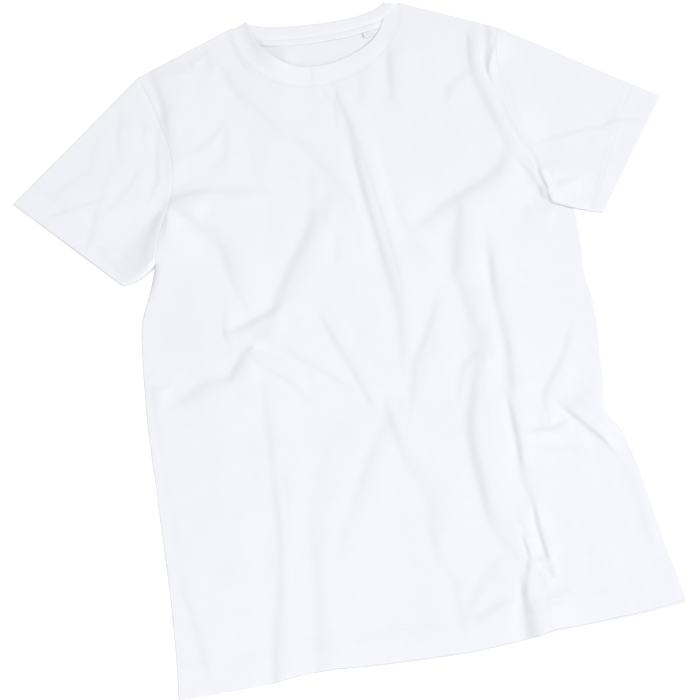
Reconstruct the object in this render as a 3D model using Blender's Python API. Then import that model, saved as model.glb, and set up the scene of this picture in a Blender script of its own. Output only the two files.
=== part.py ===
"""Crew neck T-shirt, laid flat on its back.

Metres, +Z up, +Y from the hem towards the neck, +X towards the right-hand edge of the shirt as
seen from above. Heights along the body are measured from a level line at the corners of the hem,
which hangs a little below it in the middle. The finished pieces are moved so that the origin is
under the middle of the shirt, on the surface.

A sewn shirt is a front panel, a back panel, two sleeves and a ribbed neckband. The back panel
lies flat. Everything above it follows one skin: a height over the surface that is worked out
from the folds, so that neighbouring pieces meet at the same height along their seams.
"""

import math

import bmesh
import bpy
from mathutils import Matrix, Vector, geometry

for leftover in list(bpy.data.objects):
    bpy.data.objects.remove(leftover)

COLLECTION = bpy.data.collections.new("crew_neck_t_shirt")
bpy.context.scene.collection.children.link(COLLECTION)

MM = 0.001

# ---------------------------------------------------------------- driving dimensions
BODY_TOP = 0.7250           # height of the peaks of the neckband
HEM_DIP = 0.0060            # how far the hem's middle hangs below its corners
SLEEVE_REACH = 0.3590       # centre line to the tip of each sleeve

CLOTH = 0.0012              # wall of the jersey, as one ply
RIB = 0.0016                # wall of the neckband, which is rib folded double
SEAM_GAP = 0.0003           # clearance where two pieces are sewn together

NECK_SEAM_HALF = 0.0945     # half width of the neck hole at the seam
NECK_SEAM_TOP = 0.7190      # height of the seam where it crosses the shoulder
FRONT_SEAM_DROP = 0.0890    # how far the front neck seam hangs below that
BACK_SEAM_DROP = 0.0295
BAND_HALF = 0.0780          # half width of the neckband at its free edge
FRONT_BAND_DROP = 0.0710
BACK_BAND_DROP = 0.0165
FRONT_LEAN = 0.0090         # the lowest point of the front band lies this far to the left
BACK_LEAN = -0.0110         # and that of the back band this far to the right

BAND_INSET = 0.0029         # how far the band's turn bulges past its last flat section
TURN_CLEARANCE = 0.5        # sideways share of the way that the turn's seam edge takes

TAPE_WIDTH = 0.0080         # tape that covers the back neck seam inside
TAPE_BELOW_SEAM = 0.0050
TAPE_HALF_LENGTH = 0.0640
TAPE_THICKNESS = 0.0010
TAPE_COLUMNS = 20
TAB_SIZE = (0.0100, 0.0070, 0.0010)
TAB_PLACE = (0.0540, 0.6845)
TAB_TURN = 11.0             # degrees

LOWEST_SKIN = 2 * CLOTH + SEAM_GAP
SLEEVE_EDGE_BEVEL = 0.0007  # softens the corners of a sleeve's folded edges
ARMHOLE_SLANT = 30.0        # degrees; the armhole seam leans this much at its steepest
PUFF = 0.0032               # air between front and back, away from the edges
EDGE_ROLL = 0.030           # how far in from a folded edge the cloth reaches that height
SOFT_FLOOR = 0.0004         # rounding where a crease sinks on to the back panel

JERSEY = (0.86, 0.86, 0.90)
WHITE_RIB = (0.88, 0.88, 0.92)
TAPE_WHITE = (0.89, 0.89, 0.91)

# Half widths of the body at each height, left and right.
SIDES = (
    # height, left, right
    (0.000, 0.2555, 0.2530),
    (0.030, 0.2530, 0.2500),
    (0.060, 0.2515, 0.2460),
    (0.100, 0.2500, 0.2420),
    (0.150, 0.2495, 0.2370),
    (0.176, 0.2495, 0.2320),
    (0.192, 0.2493, 0.2284),
    (0.209, 0.2490, 0.2186),
    (0.239, 0.2492, 0.2224),
    (0.269, 0.2492, 0.2252),
    (0.300, 0.2477, 0.2300),
    (0.331, 0.2460, 0.2319),
    (0.363, 0.2434, 0.2295),
    (0.387, 0.2400, 0.2325),
    (0.406, 0.2334, 0.2345),
    (0.425, 0.2256, 0.2353),
    (0.437, 0.2215, 0.2352),
)

# Half widths of the body at the armhole seams, from the underarm up.
ARMHOLES = (
    # height, left, right
    (0.449, 0.2180, 0.2100),
    (0.474, 0.2110, 0.2060),
    (0.496, 0.2030, 0.2000),
    (0.520, 0.1920, 0.1945),
    (0.550, 0.1845, 0.1920),
    (0.580, 0.1840, 0.1900),
    (0.610, 0.1895, 0.1885),
    (0.645, 0.1970, 0.1915),
)
SHOULDERS = {-1: (-0.2066, 0.6755), 1: (0.1995, 0.6680)}    # side: where the sleeve's top fold starts

# The lower edge of the hem, as it lies.
HEM_LINE = (
    # across, height
    (-0.2555, -0.0013),
    (-0.1640, -0.0018),
    (-0.1340, 0.0015),
    (-0.1000, 0.0013),
    (-0.0640, -0.0020),
    (-0.0170, -0.0045),
    (0.0300, -HEM_DIP),
    (0.0670, -0.0045),
    (0.1040, -0.0020),
    (0.1160, 0.0005),
    (0.1600, 0.0010),
    (0.2140, 0.0022),
    (0.2530, 0.0060),
)

# Corners of the sleeves: where the top fold ends, and where the underarm seam meets the cuff.
SLEEVES = {
    # name: side, tip, underarm corner, sag of the underarm edge
    "sleeve_left": (-1, (-SLEEVE_REACH, 0.5475), (-0.2545, 0.4335), 0.0050),
    "sleeve_right": (1, (SLEEVE_REACH, 0.5530), (0.2640, 0.4270), 0.0012),
}

# Folds. Each is a step in the cloth along a line: a trough on one side, a ridge on the other.
# "high" is the side that the ridge lies on as one goes along the points.
FOLDS = (
    # name, high, trough mm, its half width mm, ridge mm, its half width mm, fade in, fade out, points
    ("centre", "left", 3.5, 9, 4.5, 11, 0.10, 0.35,
     ((0.003, 0.620), (0.015, 0.565), (0.025, 0.500), (0.030, 0.437), (0.032, 0.367), (0.026, 0.310))),
    ("collar left", "left", 1.5, 10, 2.0, 10, 0.15, 0.30,
     ((-0.113, 0.652), (-0.075, 0.600), (-0.034, 0.552), (-0.003, 0.508))),
    ("waist upper", "left", 3.5, 9, 4.5, 10, 0.25, 0.05,
     ((-0.033, 0.486), (-0.063, 0.442), (-0.088, 0.398), (-0.103, 0.375))),
    ("waist knot", "left", 4.0, 9, 5.0, 9, 0.05, 0.15,
     ((-0.100, 0.380), (-0.116, 0.370), (-0.133, 0.365), (-0.151, 0.363))),
    ("waist lower", "left", 3.0, 9, 3.5, 10, 0.15, 0.25,
     ((-0.135, 0.341), (-0.152, 0.318), (-0.181, 0.309), (-0.213, 0.297))),
    ("armhole fan", "left", 2.0, 9, 3.0, 9, 0.05, 0.40,
     ((-0.182, 0.515), (-0.156, 0.491), (-0.142, 0.454), (-0.131, 0.418))),
    ("belly diagonal", "left", 3.0, 9, 3.5, 10, 0.25, 0.25,
     ((-0.048, 0.347), (-0.034, 0.306), (-0.018, 0.266), (0.009, 0.235), (0.024, 0.189))),
    ("fork left", "left", 1.5, 9, 2.5, 10, 0.10, 0.40,
     ((-0.008, 0.232), (-0.025, 0.201), (-0.044, 0.164), (-0.070, 0.119))),
    ("fork right", "left", 2.0, 10, 2.0, 10, 0.15, 0.25,
     ((0.014, 0.217), (0.027, 0.162), (0.024, 0.112), (0.035, 0.066), (0.038, 0.018))),
    ("chest right", "left", 5.0, 11, 5.0, 11, 0.10, 0.25,
     ((0.174, 0.507), (0.146, 0.486), (0.115, 0.472), (0.080, 0.452))),
    ("shoulder right", "left", 3.5, 9, 3.5, 9, 0.20, 0.15,
     ((0.162, 0.650), (0.161, 0.614), (0.167, 0.580), (0.180, 0.535))),
    ("ridge", "left", 4.0, 10, 5.0, 11, 0.12, 0.12,
     ((0.110, 0.455), (0.100, 0.400), (0.100, 0.355), (0.100, 0.300), (0.084, 0.255),
      (0.075, 0.205), (0.077, 0.145), (0.095, 0.100))),
    ("ridge foot", "left", 4.5, 8, 3.0, 12, 0.15, 0.10,
     ((0.134, 0.409), (0.130, 0.350), (0.129, 0.300), (0.121, 0.240), (0.120, 0.170), (0.128, 0.125))),
    ("hem knot", "left", 5.0, 10, 5.0, 10, 0.20, 0.00,
     ((0.107, 0.088), (0.101, 0.058), (0.096, 0.028), (0.093, -0.010))),
    ("side notch", "left", 4.5, 9, 4.5, 9, 0.10, 0.10,
     ((0.166, 0.225), (0.189, 0.204), (0.206, 0.183), (0.222, 0.162))),
    ("left drop", "left", 3.0, 10, 3.0, 10, 0.15, 0.00,
     ((-0.127, 0.278), (-0.131, 0.230), (-0.136, 0.165), (-0.145, 0.100), (-0.157, 0.040), (-0.163, -0.010))),
    ("left drop beside", "left", 1.5, 10, 1.8, 10, 0.30, 0.00,
     ((-0.100, 0.126), (-0.111, 0.060), (-0.119, -0.010))),
    ("left armpit", "left", 4.5, 12, 3.0, 10, 0.20, 0.10,
     ((-0.187, 0.530), (-0.197, 0.505), (-0.209, 0.478), (-0.219, 0.446))),
    ("right armpit", "left", 3.5, 9, 3.0, 9, 0.20, 0.20,
     ((0.199, 0.510), (0.210, 0.486), (0.215, 0.455))),
    ("right cuff crease", "left", 1.5, 9, 1.5, 9, 0.20, 0.10,
     ((0.232, 0.528), (0.275, 0.526), (0.305, 0.533), (0.345, 0.530))),
)

# Broad swells where the cloth stands off the surface over a wider area.
SWELLS = (
    # across, height, radius, rise mm
    (0.105, 0.210, 0.070, 2.0),
    (0.105, 0.030, 0.045, 2.0),
    (-0.120, 0.350, 0.060, 1.5),
    (0.040, 0.520, 0.080, 1.0),
)

HEM_COLUMNS = 44            # points along the hem
SIDE_ROWS = 30              # points along each side, from the hem to the underarm
ARM_ROWS = 12               # rows along the armhole, shared with the sleeve
SHOULDER_COLUMNS = 10       # points along each shoulder
NECK_COLUMNS = 26           # columns along the neck seam, shared with the neckband
SLEEVE_STATIONS = 11        # rings of a sleeve, from the armhole to the cuff
BAND_TURN = 4               # steps of the neckband's turn at each shoulder
PATH_STEPS = 5              # steps from one given point of a smooth line to the next
CLOTH_GRID = 0.0150         # spacing of the front panel's points on its smooth stretches
GRID_CLEAR = 0.0105         # the least distance from such a point to any other
FOLD_GRID = 0.0100          # spacing of its points along a fold
FOLD_CLEAR = 0.0070         # the least distance from such a point to any other
SAME_POINT = 1e-6


# ---------------------------------------------------------------- small helpers
def clamp(value, low, high):
    return max(low, min(high, value))


def ease(t):
    """0 to 1 with a soft start and end."""
    t = clamp(t, 0.0, 1.0)
    return t * t * (3 - 2 * t)


def read_table(rows, at, column):
    """Value of a table's column at a height, with a straight line between rows."""
    for low, high in zip(rows, rows[1:]):
        if at <= high[0]:
            share = clamp((at - low[0]) / (high[0] - low[0]), 0.0, 1.0)
            return low[column] + share * (high[column] - low[column])
    return rows[-1][column]


def smooth_line(points, steps):
    """Points of a Catmull-Rom curve through the given ones."""
    ends = [2 * points[0] - points[1]] + list(points) + [2 * points[-1] - points[-2]]
    line = []
    for a, b, c, d in zip(ends, ends[1:], ends[2:], ends[3:]):
        for k in range(steps):
            t = k / steps
            line.append(0.5 * (2 * b + (c - a) * t + (2 * a - 5 * b + 4 * c - d) * t * t
                               + (3 * b - a - 3 * c + d) * t ** 3))
    line.append(points[-1])
    return line


def along(line, share):
    """Point at a share of the length of a line of points."""
    lengths = [(b - a).length for a, b in zip(line, line[1:])]
    left = clamp(share, 0.0, 1.0) * sum(lengths)
    for a, b, length in zip(line, line[1:], lengths):
        if left <= length:
            return a.lerp(b, left / length)
        left -= length
    return line[-1].copy()


def place_on_line(line, point):
    """Signed distance to a line, positive on its left, and the share of its length there."""
    total = sum((b - a).length for a, b in zip(line, line[1:]))
    nearest, signed, share, walked = math.inf, 0.0, 0.0, 0.0
    last = len(line) - 2
    for i, (a, b) in enumerate(zip(line, line[1:])):
        step = b - a
        t = (point - a).dot(step) / step.length_squared
        low = -math.inf if i == 0 else 0.0
        high = math.inf if i == last else 1.0
        t = clamp(t, low, high)
        offset = point - (a + t * step)
        if offset.length < nearest:
            nearest = offset.length
            signed = math.copysign(nearest, step.x * offset.y - step.y * offset.x)
            share = (walked + t * step.length) / total
        walked += step.length
    return signed, share


# ---------------------------------------------------------------- outline of the shirt
def points_of(rows, side):
    column = 1 if side < 0 else 2
    return [Vector((side * row[column], row[0])) for row in rows]


def armhole_line(side):
    """Armhole seam from the underarm up to the shoulder."""
    line = smooth_line(points_of(ARMHOLES, side) + [Vector(SHOULDERS[side])], PATH_STEPS)
    return [along(line, k / ARM_ROWS) for k in range(ARM_ROWS + 1)]


def side_line(side):
    """Side edge of the body, from the hem up to just below the armhole."""
    line = points_of(SIDES, side)
    line[0].y = read_table(HEM_LINE, line[0].x, 1)
    line.append(armhole_line(side)[0])
    return [along(line, k / SIDE_ROWS) for k in range(SIDE_ROWS)]


def shoulder_line(side):
    """Top edge of the shoulder, from the sleeve seam to the neck seam."""
    start, end = armhole_line(side)[-1], Vector((side * NECK_SEAM_HALF, NECK_SEAM_TOP))
    return [start.lerp(end, k / SHOULDER_COLUMNS) for k in range(SHOULDER_COLUMNS)]


def half_ring(half_width, top, drop, lean, turn):
    """Point of half an ellipse that hangs from a height. Turn 0 is its left end, pi its right."""
    return Vector((-half_width * math.cos(turn) - lean * math.sin(turn) ** 2,
                   top - drop * math.sin(turn)))


def front_seam(turn):
    return half_ring(NECK_SEAM_HALF, NECK_SEAM_TOP, FRONT_SEAM_DROP, FRONT_LEAN, turn)


def back_seam(turn):
    return half_ring(NECK_SEAM_HALF, NECK_SEAM_TOP, BACK_SEAM_DROP, 0.0, turn)


def front_band_edge(turn):
    return half_ring(BAND_HALF, BODY_TOP, FRONT_BAND_DROP, FRONT_LEAN, turn)


def back_band_edge(turn):
    return half_ring(BAND_HALF, BODY_TOP, BACK_BAND_DROP, BACK_LEAN, turn)


def neck_turns():
    return [math.pi * k / NECK_COLUMNS for k in range(NECK_COLUMNS + 1)]


def hem_line():
    """Points of the hem from the left side to the right."""
    start, end = side_line(-1)[0].x, side_line(1)[0].x
    across = [start + (end - start) * k / HEM_COLUMNS for k in range(HEM_COLUMNS + 1)]
    return [Vector((x, read_table(HEM_LINE, x, 1))) for x in across]


def panel_outline(seam):
    """Closed outline of a body panel, anticlockwise from the left end of the hem."""
    right = side_line(1)[1:] + armhole_line(1) + shoulder_line(1)[1:]
    left = side_line(-1)[1:] + armhole_line(-1) + shoulder_line(-1)[1:]
    neck = [seam(turn) for turn in neck_turns()]
    return hem_line() + right + list(reversed(neck)) + list(reversed(left))


def sleeve_edge(side, end, corner, sag=0.0):
    """Top fold or underarm of a sleeve, from the armhole to the cuff."""
    start = armhole_line(side)[end]
    edge = []
    for k in range(SLEEVE_STATIONS + 1):
        share = k / SLEEVE_STATIONS
        edge.append(start.lerp(Vector(corner), share) - Vector((0.0, 4 * sag * share * (1 - share))))
    return edge


def folded_edges():
    """The edges where the front of the shirt turns under to the back."""
    lines = []
    for side, tip, under, sag in SLEEVES.values():
        lines.append(side_line(side) + armhole_line(side)[:1])
        lines.append([armhole_line(side)[-1], Vector((side * NECK_SEAM_HALF, NECK_SEAM_TOP))])
        lines.append([armhole_line(side)[-1], Vector(tip)])
        lines.append(sleeve_edge(side, 0, under, sag))
    return lines


FOLDED = folded_edges()


# ---------------------------------------------------------------- the skin
def distance_to_folded_edge(point):
    nearest = math.inf
    for line in FOLDED:
        for a, b in zip(line, line[1:]):
            t = clamp((point - a).dot(b - a) / (b - a).length_squared, 0.0, 1.0)
            nearest = min(nearest, (point - a.lerp(b, t)).length)
    return nearest


def fade(share, start, end):
    """1 along the middle of a fold, running out over a share of its length at each end."""
    value = ease(share / start) if start else 1.0
    return value * (ease((1 - share) / end) if end else 1.0)


def fold_rise(line, row, point):
    """Height that one fold adds at a point: below zero in its trough, above on its ridge."""
    _, high, trough, trough_width, ridge, ridge_width, start, end, _ = row
    distance, share = place_on_line(line, point)
    if high == "right":
        distance = -distance
    size, width = (ridge, ridge_width) if distance > 0 else (trough, trough_width)
    reach = distance / (width * MM)
    return size * MM * reach * math.exp(0.5 * (1 - reach * reach)) * fade(share, start, end)


FOLD_LINES = [smooth_line([Vector(p) for p in row[-1]], PATH_STEPS) for row in FOLDS]


def skin(point):
    """Height of the upper face of the cloth above the surface that the shirt lies on."""
    rise = sum(fold_rise(line, row, point) for line, row in zip(FOLD_LINES, FOLDS))
    for across, height, radius, swell in SWELLS:
        away = (point - Vector((across, height))).length / radius
        rise += swell * MM * math.exp(-away * away)
    rise = SOFT_FLOOR * math.log1p(math.exp((PUFF + rise) / SOFT_FLOOR))
    edge = clamp(distance_to_folded_edge(point) / EDGE_ROLL, 0.0, 1.0)
    return LOWEST_SKIN + rise * math.sqrt(1 - (1 - edge) ** 2)


def on_skin(point):
    return Vector((point.x, point.y, skin(point)))


# ---------------------------------------------------------------- meshes
def patch(hem, left, right, top):
    """Rows of points of a sheet stretched between four edges (a Coons patch)."""
    rows, columns = len(left) - 1, len(hem) - 1
    sheet = []
    for i in range(rows + 1):
        v = i / rows
        row = []
        for j in range(columns + 1):
            u = j / columns
            corners = ((1 - u) * (1 - v) * hem[0] + u * (1 - v) * hem[-1]
                       + (1 - u) * v * top[0] + u * v * top[-1])
            row.append((1 - v) * hem[j] + v * top[j] + (1 - u) * left[i] + u * right[i] - corners)
        sheet.append(row)
    return sheet


def finish(name, mesh, colour, roughness):
    """Object of a mesh, with its own material, in the shirt's collection."""
    thing = bpy.data.objects.new(name, mesh)
    material = bpy.data.materials.new(name + "_cloth")
    material.use_nodes = True
    shader = material.node_tree.nodes["Principled BSDF"]
    shader.inputs["Base Color"].default_value = (*colour, 1)
    shader.inputs["Roughness"].default_value = roughness
    shader.inputs["Metallic"].default_value = 0.0
    mesh.materials.append(material)
    thing.location.y = (HEM_DIP - BODY_TOP) / 2
    COLLECTION.objects.link(thing)
    return thing


def mesh_of(name, shape):
    bmesh.ops.recalc_face_normals(shape, faces=shape.faces[:])
    mesh = bpy.data.meshes.new(name)
    shape.to_mesh(mesh)
    shape.free()
    return mesh


def thicken(name, shape, thickness):
    """Closed wall under an open sheet, which is its upper face."""
    grown = bmesh.ops.extrude_face_region(shape, geom=shape.faces[:], use_keep_orig=True)
    for part in grown["geom"]:
        if isinstance(part, bmesh.types.BMVert):
            part.co.z -= thickness
    return mesh_of(name, shape)


def inside(outline, point):
    """Whether a point lies inside a closed outline: an odd number of edges lie to its right."""
    crossings = 0
    for a, b in zip(outline, outline[1:] + outline[:1]):
        if (a.y > point.y) != (b.y > point.y):
            crossings += point.x < a.x + (b.x - a.x) * (point.y - a.y) / (b.y - a.y)
    return crossings % 2 == 1


def fold_points():
    """Points along the middle of each fold, its trough, its ridge and the feet of both."""
    points = []
    for line, (_, high, _, trough_width, _, ridge_width, _, _, _) in zip(FOLD_LINES, FOLDS):
        length = sum((b - a).length for a, b in zip(line, line[1:]))
        count = max(2, round(length / FOLD_GRID))
        left, right = (ridge_width, trough_width) if high == "left" else (trough_width, ridge_width)
        for k in range(count):
            here, ahead = along(line, k / count), along(line, (k + 1) / count)
            across = (ahead - here).normalized().orthogonal() * MM
            points += [here + across * offset for offset in (left, 0, -right, 2 * left, -2 * right)]
    return points


def grid_points():
    """Points of an even triangular grid over the whole panel."""
    pitch = CLOTH_GRID * math.sqrt(3) / 2
    points = []
    for row in range(math.ceil(BODY_TOP / pitch)):
        shift = CLOTH_GRID / 2 * (row % 2)
        columns = math.ceil(2 * SLEEVE_REACH / CLOTH_GRID)
        points += [Vector((shift + CLOTH_GRID * k - SLEEVE_REACH, row * pitch)) for k in range(columns)]
    return points


def panel_points(outline):
    """The outline's points, then those inside it, with none too near to another."""
    points = list(outline)
    for more, clear in ((fold_points(), FOLD_CLEAR), (grid_points(), GRID_CLEAR)):
        for point in more:
            if inside(outline, point) and all((point - other).length > clear for other in points):
                points.append(point)
    return points


def loft(shape, rings, closed):
    """Faces between rings of points. Returns the rings as vertices."""
    made = [[shape.verts.new(point) for point in ring] for ring in rings]
    pairs = list(zip(made, made[1:]))
    if closed:
        pairs.append((made[-1], made[0]))
    for a, b in pairs:
        for k in range(len(a)):
            shape.faces.new((a[k - 1], a[k], b[k], b[k - 1]))
    return made


def tube_mesh(name, outer, inner):
    """Wall between an outer and an inner tube, closed round both of its mouths."""
    shape = bmesh.new()
    outside = loft(shape, outer, closed=False)
    inside = loft(shape, inner, closed=False)
    for end in (0, -1):
        a, b = outside[end], inside[end]
        for k in range(len(a)):
            shape.faces.new((a[k - 1], a[k], b[k], b[k - 1]))
    return mesh_of(name, shape)


# ---------------------------------------------------------------- front and back panels
def front_panel():
    """Single ply of jersey, on top, with the folds in it."""
    outline = panel_outline(front_seam)
    rim = [list(range(len(outline)))]
    net = geometry.delaunay_2d_cdt(panel_points(outline), [], rim, 1, SAME_POINT)
    shape = bmesh.new()
    corners = [shape.verts.new(on_skin(point)) for point in net[0]]
    for face in net[2]:
        shape.faces.new([corners[k] for k in face])
    return finish("front_panel", thicken("front_panel", shape, CLOTH), JERSEY, 0.90)


def back_panel():
    """Single ply of jersey that lies flat, with the shallow back neck."""
    outline = panel_outline(back_seam)
    curve = bpy.data.curves.new("back_panel", "CURVE")
    curve.dimensions = "2D"
    curve.fill_mode = "BOTH"
    curve.extrude = CLOTH / 2
    spline = curve.splines.new("POLY")
    spline.points.add(len(outline) - 1)
    for place, point in zip(spline.points, outline):
        place.co = (point.x, point.y, 0.0, 1.0)
    spline.use_cyclic_u = True
    panel = finish("back_panel", curve, JERSEY, 0.90)
    panel.location.z = CLOTH / 2
    return panel


# ---------------------------------------------------------------- sleeves
def sleeve_sheet(side, tip, under, sag):
    """Rows of points from the armhole to the cuff, each from the underarm to the top fold."""
    clear = Vector((side * SEAM_GAP / math.cos(math.radians(ARMHOLE_SLANT)), 0.0))
    armhole = [point + clear for point in armhole_line(side)]
    cuff = [Vector(under).lerp(Vector(tip), k / ARM_ROWS) for k in range(ARM_ROWS + 1)]
    low = sleeve_edge(side, 0, under, sag)
    high = sleeve_edge(side, -1, tip)
    low[0], high[0] = armhole[0], armhole[-1]
    return patch(armhole, low, high, cuff)


def sleeve_ring(row, wall):
    """Flat ring round one row of a sleeve. Wall 0 gives its outer face, and CLOTH its inner face."""
    across = (row[-1] - row[0]).normalized()
    ends = {0: across * (SLEEVE_EDGE_BEVEL + wall), len(row) - 1: -across * (SLEEVE_EDGE_BEVEL + wall)}
    flat = [point + ends.get(k, Vector((0.0, 0.0))) for k, point in enumerate(row)]
    heights = [skin(point) for point in row]
    under = [Vector((point.x, point.y, wall)) for point in flat]
    over = [Vector((point.x, point.y, height - wall)) for point, height in zip(flat, heights)]
    start = row[0] + across * wall
    end = row[-1] - across * wall
    return (under + [Vector((end.x, end.y, heights[-1] / 2))]
            + list(reversed(over)) + [Vector((start.x, start.y, heights[0] / 2))])


def sleeve(name, side, tip, under, sag):
    """Tube of jersey pressed flat, folded along its top and sewn at the underarm and armhole."""
    sheet = sleeve_sheet(side, tip, under, sag)
    outer = [sleeve_ring(row, 0.0) for row in sheet]
    inner = [sleeve_ring(row, CLOTH) for row in sheet]
    return finish(name, tube_mesh(name, outer, inner), JERSEY, 0.90)


# ---------------------------------------------------------------- neckband
def band_section(seam, edge, normal):
    """Section of the band: seam edge, then round its folded free edge. Points are mid wall."""
    along_band = (edge - seam).normalized()
    half = normal * (RIB / 2)
    seam = seam + along_band * SEAM_GAP
    shoulder = edge - along_band * (RIB / 2)
    return [seam - half, seam + half, shoulder + half, edge, shoulder - half]


def band_half(seam, edge, top_of, face_up):
    """Sections of the front or back half of the band, from left to right."""
    sections = []
    for turn in neck_turns():
        ends = []
        for ring, drop in (seam, edge):
            first = math.asin(BAND_INSET / drop)
            point = ring(clamp(turn, first, math.pi - first))
            ends.append(Vector((point.x, point.y, top_of(point))))
        sections.append((ends[0], ends[1], Vector((0.0, 0.0, 1.0 if face_up else -1.0))))
    return sections


def band_turn(front, back, side):
    """Sections that carry the band round from its front half to its back half at a shoulder."""
    up = Vector((0.0, 0.0, 1.0))
    crease = front[1] - front[0]
    crease.z = 0.0
    out = side * crease.cross(up).normalized()
    # The seam edge leaves along the seam, just clear of the corners of the panels.
    leave = Vector((-side * TURN_CLEARANCE, 1.0, 0.0))
    sections = []
    for k in range(1, BAND_TURN):
        angle = math.pi * k / BAND_TURN
        ends = []
        for a, b, way in zip(front[:2], back[:2], (leave, out)):
            middle, half = (a + b) / 2, (a - b) / 2
            ends.append(middle + half * math.cos(angle) + way * half.z * math.sin(angle))
        sections.append((ends[0], ends[1], out * math.sin(angle) + up * math.cos(angle)))
    return sections


def neckband():
    """Closed ring of folded rib, sewn to both panels and turned over flat at the shoulders."""
    front = band_half((front_seam, FRONT_SEAM_DROP), (front_band_edge, FRONT_BAND_DROP),
                      lambda point: skin(point) - RIB / 2, True)
    back = band_half((back_seam, BACK_SEAM_DROP), (back_band_edge, BACK_BAND_DROP),
                     lambda point: RIB / 2, False)
    ring = front + band_turn(front[-1], back[-1], 1)
    ring += list(reversed(back)) + list(reversed(band_turn(front[0], back[0], -1)))
    shape = bmesh.new()
    loft(shape, [band_section(*section) for section in ring], closed=True)
    return finish("neckband", mesh_of("neckband", shape), WHITE_RIB, 0.85)


# ---------------------------------------------------------------- inside of the back neck
def neck_tape():
    """Tape over the seam between the neckband and the back panel, inside the neck."""
    shape = bmesh.new()
    bmesh.ops.create_grid(shape, x_segments=TAPE_COLUMNS, y_segments=1, size=1.0)
    for vertex in shape.verts:
        seam = back_seam(math.acos(-vertex.co.x * TAPE_HALF_LENGTH / NECK_SEAM_HALF))
        upper = TAPE_WIDTH if vertex.co.y > 0 else 0.0
        vertex.co = (seam.x, seam.y - TAPE_BELOW_SEAM + upper, RIB + SEAM_GAP + TAPE_THICKNESS)
    return finish("neck_tape", thicken("neck_tape", shape, TAPE_THICKNESS), TAPE_WHITE, 0.80)


def neck_tab():
    """Small plain woven tab below the tape, on the right-hand side."""
    bpy.ops.mesh.primitive_cube_add(size=1.0)
    cube = bpy.context.object
    mesh = cube.data
    turn = Matrix.Rotation(math.radians(TAB_TURN), 4, "Z")
    place = Matrix.Translation((*TAB_PLACE, CLOTH + SEAM_GAP + TAB_SIZE[2] / 2))
    mesh.transform(place @ turn @ Matrix.Diagonal((*TAB_SIZE, 1.0)))
    bpy.data.objects.remove(cube)
    return finish("neck_tab", mesh, TAPE_WHITE, 0.70)


# ---------------------------------------------------------------- the shirt
def build():
    front_panel()
    back_panel()
    for name, (side, tip, under, sag) in SLEEVES.items():
        sleeve(name, side, tip, under, sag)
    neckband()
    neck_tape()
    neck_tab()


build()
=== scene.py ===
import math

import bpy
import numpy as np
from mathutils import Matrix, Vector, geometry


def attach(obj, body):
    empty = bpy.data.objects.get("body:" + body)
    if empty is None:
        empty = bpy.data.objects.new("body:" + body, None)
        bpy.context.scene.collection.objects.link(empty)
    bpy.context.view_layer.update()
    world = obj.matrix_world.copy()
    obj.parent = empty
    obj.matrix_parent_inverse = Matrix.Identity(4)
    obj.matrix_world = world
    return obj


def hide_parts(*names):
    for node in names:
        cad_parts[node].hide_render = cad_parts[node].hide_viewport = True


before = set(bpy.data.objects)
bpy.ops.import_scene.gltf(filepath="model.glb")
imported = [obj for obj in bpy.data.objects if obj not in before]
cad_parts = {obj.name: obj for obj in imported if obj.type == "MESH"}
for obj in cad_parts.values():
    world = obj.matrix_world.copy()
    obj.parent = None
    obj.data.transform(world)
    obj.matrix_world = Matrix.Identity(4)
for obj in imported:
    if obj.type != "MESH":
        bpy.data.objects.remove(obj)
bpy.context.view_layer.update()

# ---------------------------------------------------------------- front panel
# One ply of white cotton single jersey with the low front neck. The shirt lies on its back, so this
# ply is on top and carries the creases. It is joined to the back along the sides and shoulders, and
# its hem is turned up and sewn with two rows.

# The cut, in millimetres: across from the centre line, and up from the corners of the hem.
MIDDLE = 359.5      # height on the shirt that comes to the scene's origin
SIDES = np.array((
    # height, left, right
    (0, 255.5, 253), (30, 253, 250), (60, 251.5, 246), (100, 250, 242), (150, 249.5, 237),
    (176, 249.5, 232), (192, 249.3, 228.4), (209, 249, 218.6), (239, 249.2, 222.4), (269, 249.2, 225.2),
    (300, 247.7, 230), (331, 246, 231.9), (363, 243.4, 229.5), (387, 240, 232.5), (406, 233.4, 234.5),
    (425, 225.6, 235.3), (437, 221.5, 235.2)))
ARMHOLES = np.array((
    # height, left, right
    (449, 218, 210), (474, 211, 206), (496, 203, 200), (520, 192, 194.5), (550, 184.5, 192),
    (580, 184, 190), (610, 189.5, 188.5), (645, 197, 191.5)))
SHOULDERS = {-1: (-206.6, 675.5), 1: (199.5, 668)}      # top of each armhole, by side
HEM = np.array((
    # across, height
    (-255.5, -1.3), (-164, -1.8), (-134, 1.5), (-100, 1.3), (-64, -2), (-17, -4.5), (30, -6), (67, -4.5),
    (104, -2), (116, .5), (160, 1), (214, 2.2), (253, 6)))
SLEEVES = {
    # side: tip, underarm corner, sag of the underarm edge
    -1: ((-359, 547.5), (-254.5, 433.5), 5.0),
    1: ((359, 553), (264, 427), 1.2),
}
NECK_SEAM = (94.5, 719)         # half width and top of the neck hole
FRONT_NECK = (89, 9)            # drop and lean of its front half
BACK_NECK = (29.5, 0)           # and of its back half


def smooth_line(points, steps):
    """Points of a smooth curve through the given ones."""
    points = np.asarray(points, float)
    ends = np.vstack([2 * points[0] - points[1], points, 2 * points[-1] - points[-2]])
    line = []
    for a, b, c, d in zip(ends, ends[1:], ends[2:], ends[3:]):
        for t in np.arange(steps) / steps:
            line.append(.5 * (2 * b + (c - a) * t + (2 * a - 5 * b + 4 * c - d) * t * t
                              + (3 * b - a - 3 * c + d) * t ** 3))
    return np.vstack([line, points[-1:]])


def walked(line):
    """Length of a line up to each of its points."""
    return np.concatenate([[0], np.cumsum(np.hypot(*np.diff(line, axis=0).T))])


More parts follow.
